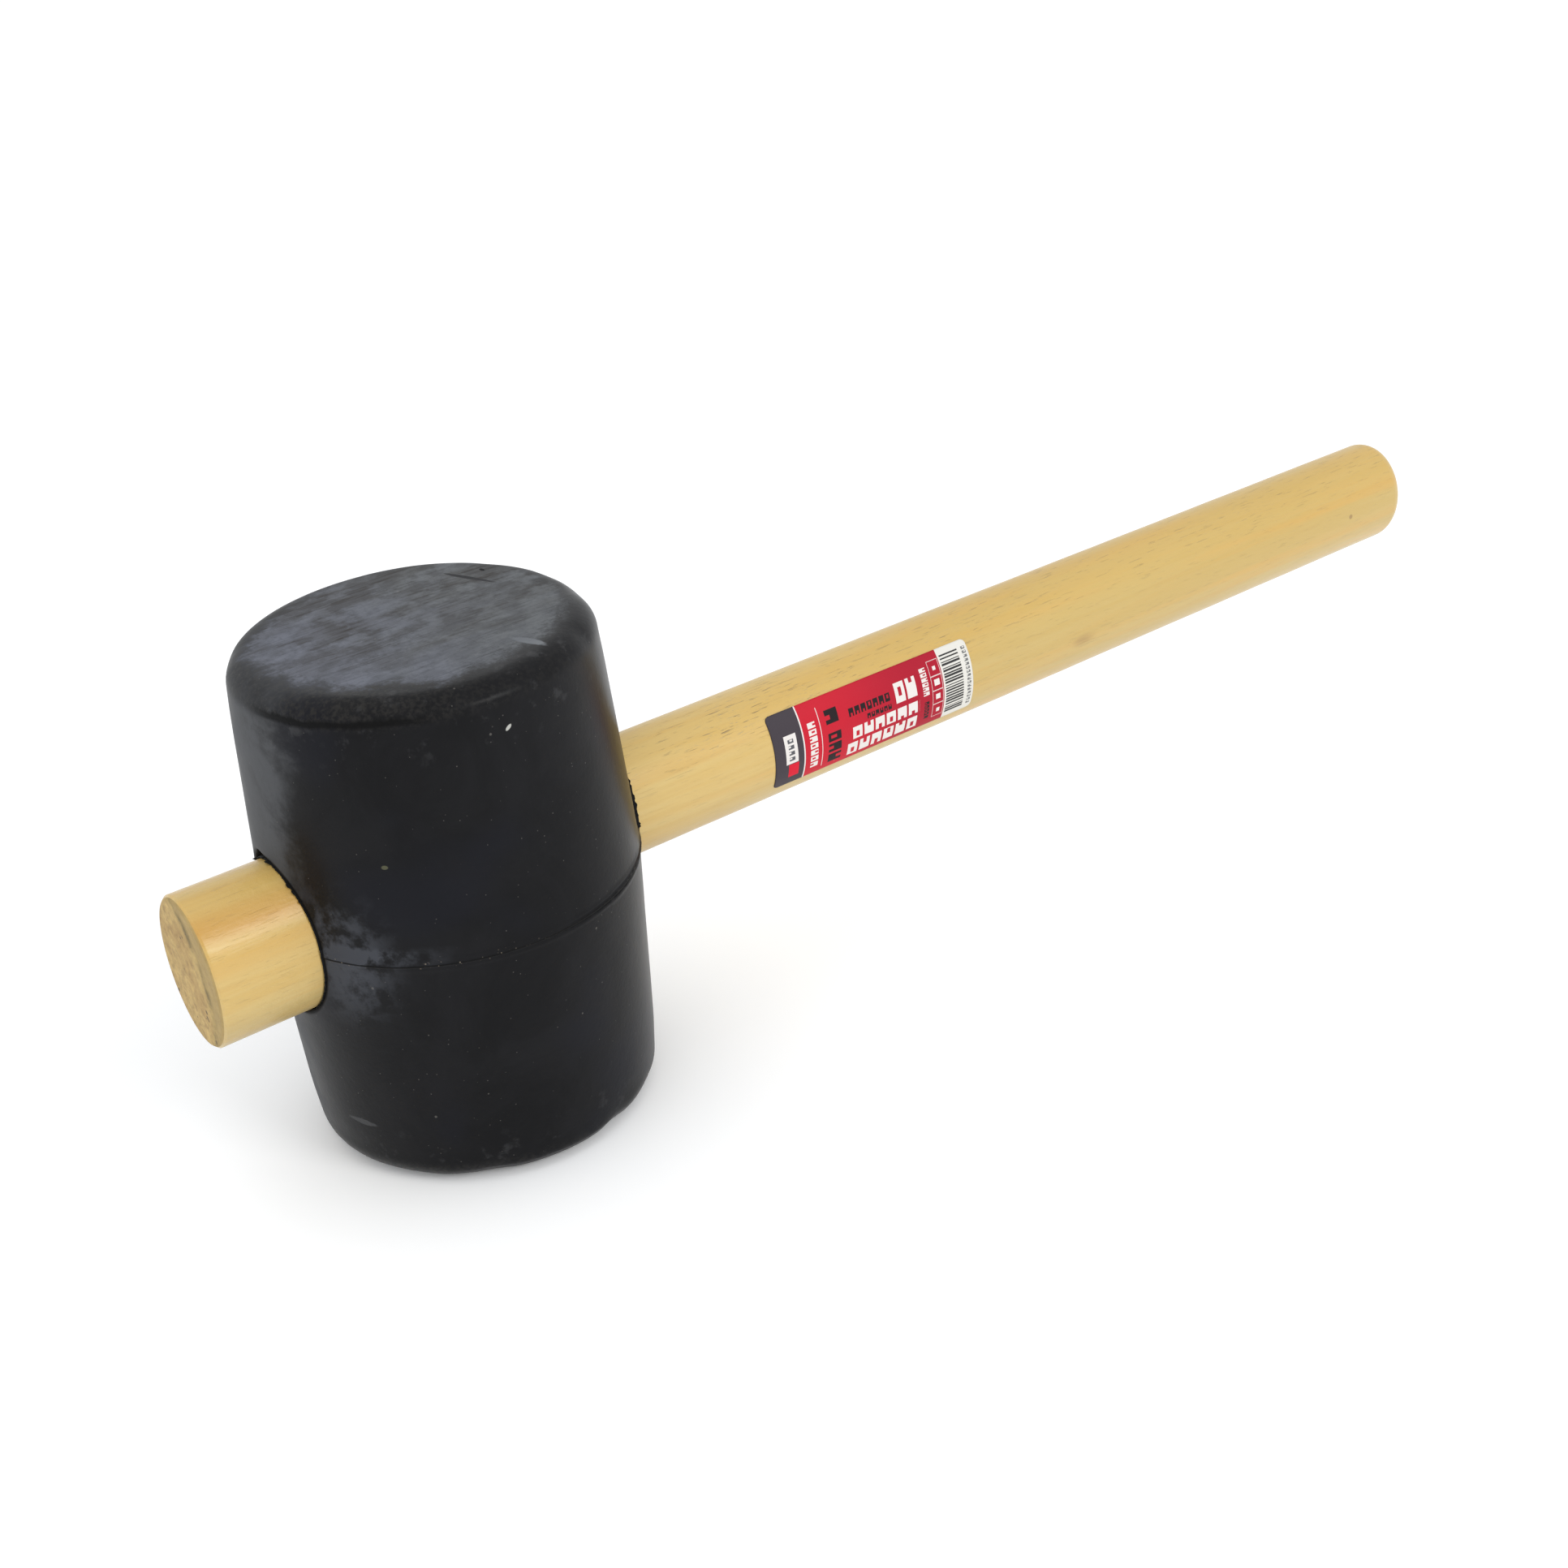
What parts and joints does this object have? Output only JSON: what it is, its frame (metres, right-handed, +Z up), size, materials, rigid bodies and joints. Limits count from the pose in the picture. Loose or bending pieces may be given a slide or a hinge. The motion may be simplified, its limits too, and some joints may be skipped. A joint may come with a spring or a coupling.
{
  "type": "rubber mallet",
  "caption": "Rubber mallet for blows that don't mark the work: a solid black rubber barrel head with flat round striking faces, pressed onto a long oval wooden handle.",
  "frame": {"origin": "centre of the lower striking face, on the head's own axis", "axes": "+Z up along the head's axis, +X along the handle from the head towards the grip, -Y is the side that carries the label"},
  "size_m": [0.394, 0.0908, 0.125],
  "materials": {
    "black_rubber": "matte",
    "varnished_wood": "satin",
    "label_film": "satin"
  },
  "bodies": {
    "root": {"rubber_head": "black_rubber", "wooden_handle": "varnished_wood", "handle_label": "label_film"}
  },
  "joints": []
}
